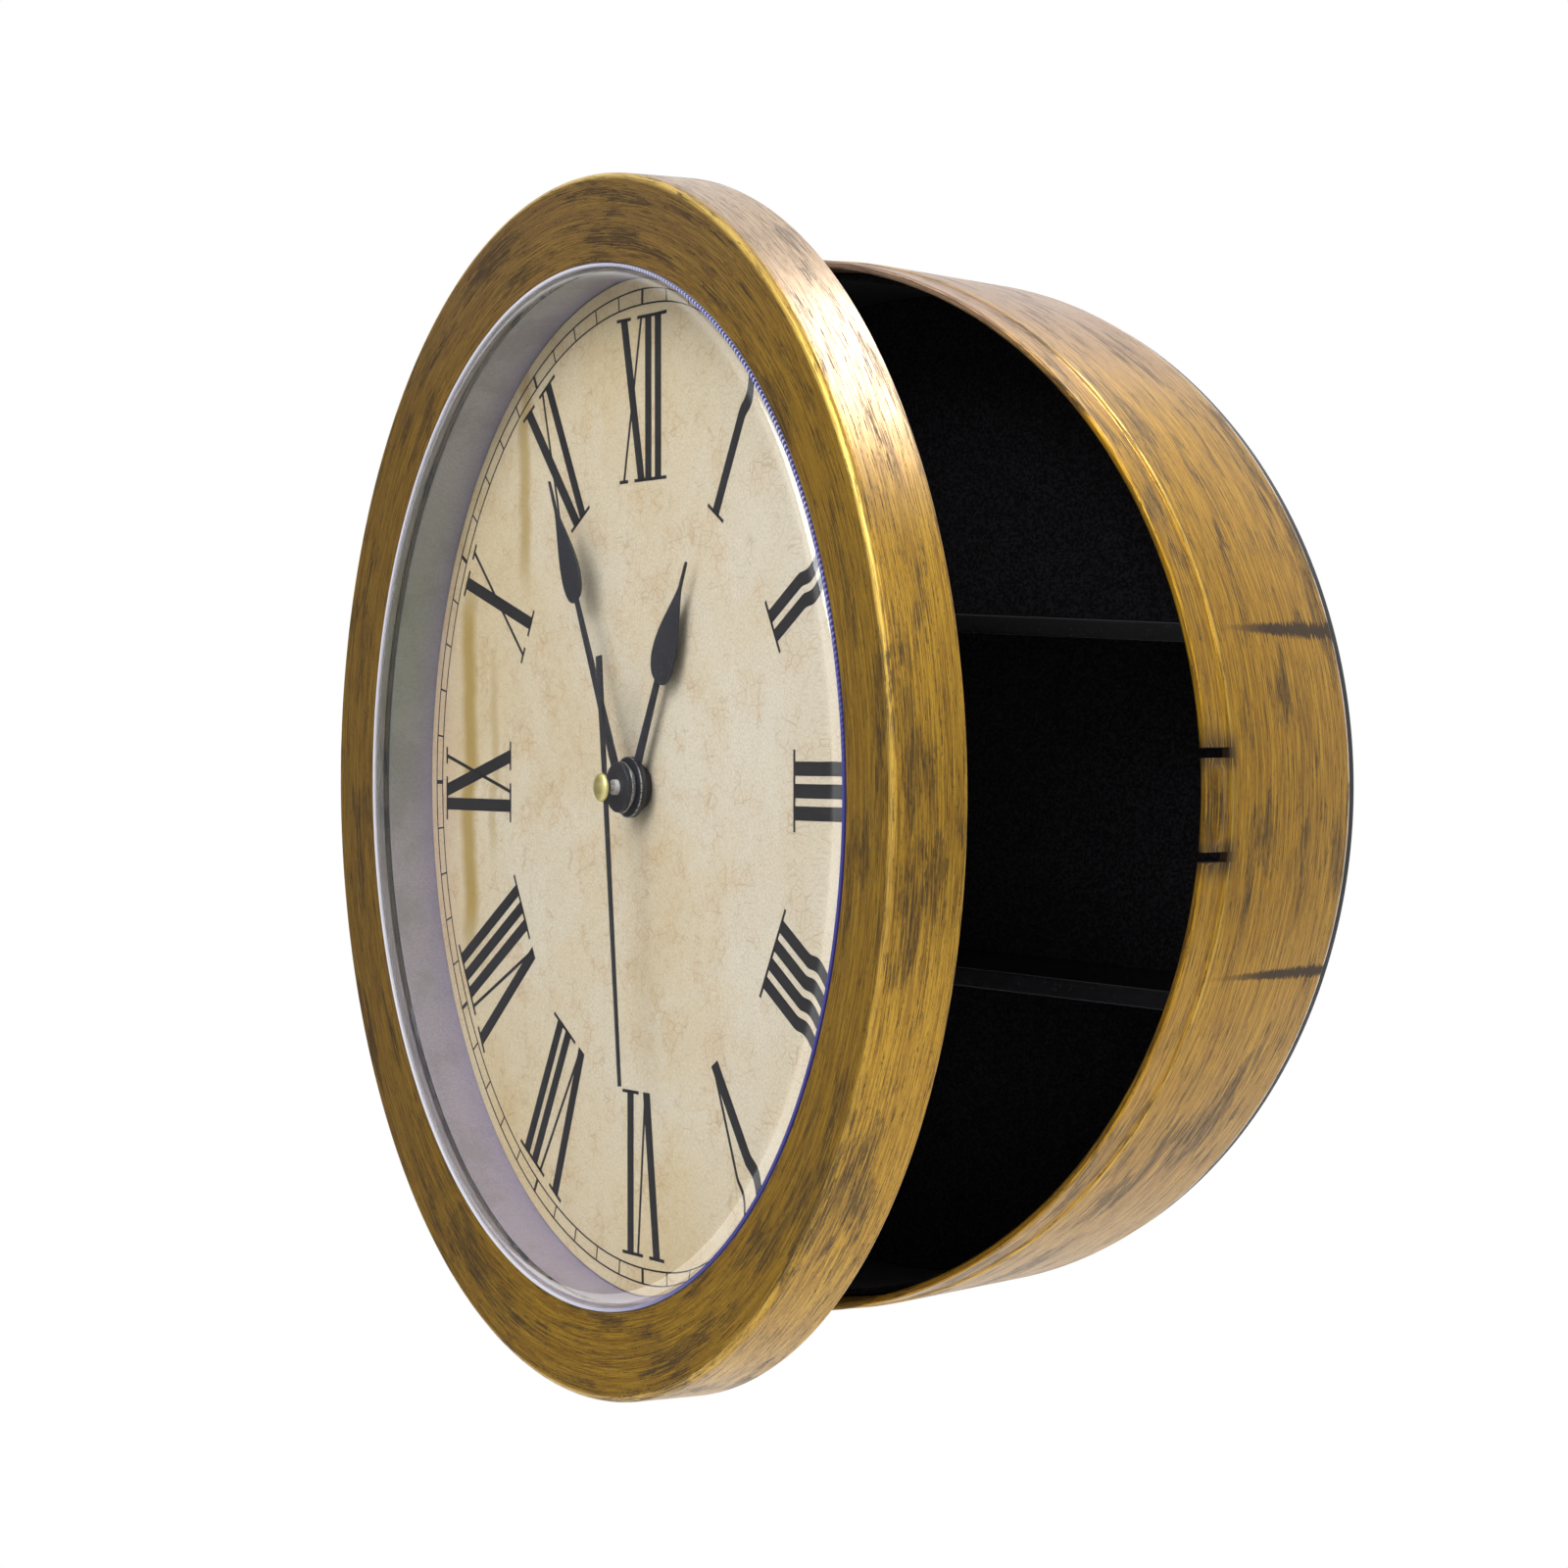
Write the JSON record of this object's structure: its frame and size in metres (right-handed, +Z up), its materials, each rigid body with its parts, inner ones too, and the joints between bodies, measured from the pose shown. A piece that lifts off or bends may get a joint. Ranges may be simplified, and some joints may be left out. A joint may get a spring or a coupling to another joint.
{
  "type": "clock diversion safe",
  "caption": "Round wall clock whose glazed face is a side-hinged door on a shallow round cabinet with shelves, so the clock hides a small safe.",
  "frame": {"origin": "centre of the back plate's rear face, on the wall plane", "axes": "+Y into the wall, the clock looks along -Y, +Z up, hinge on the -X side"},
  "size_m": [0.2409, 0.1435, 0.25],
  "materials": {
    "antique_gold": "antique gold metallic paint with dark brushed streaks",
    "black_plastic": "fine matt",
    "black_flock": "felt-like flocking",
    "gloss_black": "gloss",
    "hand_black": "satin black paint",
    "grey_plastic": "satin",
    "dial_paper": "printed paper, aged parchment look",
    "clear_lens": "clear gloss",
    "steel": "plated",
    "brass": "polished",
    "black_rubber": "matt",
    "battery_sleeve": "plain printed sleeve",
    "coil_wire": "enamelled winding",
    "board_green": "solder mask",
    "white_nylon": "moulded"
  },
  "bodies": {
    "drum": {"drum_shell": "antique_gold", "back_plate": "black_plastic", "back_screw_1": "steel", "back_screw_2": "steel", "back_screw_3": "steel", "back_screw_4": "steel", "hinge_pin": "steel", "drum_liner": "black_flock", "liner_floor": "black_flock", "upper_shelf": "gloss_black", "lower_shelf": "gloss_black"},
    "door": {"door_ring": "antique_gold", "lens": "clear_lens", "dial_cup": "grey_plastic", "clamp_ring": "black_plastic", "dial_card": "dial_paper", "door_screw_1": "steel", "door_screw_2": "steel", "door_screw_3": "steel", "door_screw_4": "steel", "door_screw_5": "steel", "door_screw_6": "steel", "movement_front_case": "black_plastic", "movement_rear_case": "black_plastic", "rubber_washer": "black_rubber", "fixing_nut": "brass", "battery": "battery_sleeve", "battery_contact_positive": "steel", "battery_contact_negative": "steel", "stator_plate": "steel", "motor_coil": "coil_wire", "circuit_board": "board_green", "quartz_crystal": "steel"},
    "second": {"second_hand": "hand_black", "second_hand_cap": "brass", "second_wheel": "white_nylon"},
    "rotor": {"rotor": "steel"},
    "intermediate": {"intermediate_wheel": "white_nylon"},
    "third": {"third_wheel": "white_nylon"},
    "centre": {"centre_wheel": "brass"},
    "minute": {"minute_hand": "hand_black", "minute_pipe": "steel"},
    "minute_wheel": {"minute_wheel": "white_nylon"},
    "hour": {"hour_hand": "hand_black", "hour_wheel": "white_nylon"},
    "setting": {"setting_knob": "grey_plastic"}
  },
  "joints": [
    {"name": "door_hinge", "type": "hinge", "parent": "drum", "child": "door", "pos_m": [-0.121, -0.049, 0], "axis": [0, 0, -1], "range_deg": [-19.7, 78]},
    {"name": "second_spin", "type": "hinge", "parent": "door", "child": "second", "pos_m": [-0.0027, -0.07755, 0], "axis": [0.3371, 0.9415, 0], "continuous": true},
    {"name": "rotor_spin", "type": "hinge", "parent": "door", "child": "rotor", "pos_m": [-0.01484, -0.0732, 0.00122], "axis": [0.3371, 0.9415, 0], "continuous": true},
    {"name": "intermediate_spin", "type": "hinge", "parent": "door", "child": "intermediate", "pos_m": [-0.00919, -0.07523, 0.00122], "axis": [0.3371, 0.9415, 0], "continuous": true},
    {"name": "third_spin", "type": "hinge", "parent": "door", "child": "third", "pos_m": [0.00154, -0.07907, 0.00779], "axis": [0.3371, 0.9415, 0], "continuous": true},
    {"name": "centre_spin", "type": "hinge", "parent": "door", "child": "centre", "pos_m": [-0.0027, -0.07755, 0], "axis": [0.3371, 0.9415, 0], "continuous": true},
    {"name": "minute_spin", "type": "hinge", "parent": "door", "child": "minute", "pos_m": [-0.0027, -0.07755, 0], "axis": [0.3371, 0.9415, 0], "continuous": true},
    {"name": "minute_wheel_spin", "type": "hinge", "parent": "door", "child": "minute_wheel", "pos_m": [0.00235, -0.08254, -0.0054], "axis": [0.3371, 0.9415, 0], "continuous": true},
    {"name": "hour_spin", "type": "hinge", "parent": "door", "child": "hour", "pos_m": [-0.0027, -0.07755, 0], "axis": [0.3371, 0.9415, 0], "continuous": true},
    {"name": "setting_spin", "type": "hinge", "parent": "door", "child": "setting", "pos_m": [0.01367, -0.0781, -0.00701], "axis": [0.3371, 0.9415, 0], "continuous": true}
  ],
  "couplings": [
    {"joint": "intermediate_spin", "follows": "second_spin", "ratio": -6},
    {"joint": "rotor_spin", "follows": "second_spin", "ratio": 30},
    {"joint": "third_spin", "follows": "second_spin", "ratio": -0.13333},
    {"joint": "centre_spin", "follows": "second_spin", "ratio": 0.016667},
    {"joint": "minute_wheel_spin", "follows": "minute_spin", "ratio": -0.33333},
    {"joint": "hour_spin", "follows": "minute_spin", "ratio": 0.083333},
    {"joint": "setting_spin", "follows": "minute_spin", "ratio": 0.7}
  ]
}
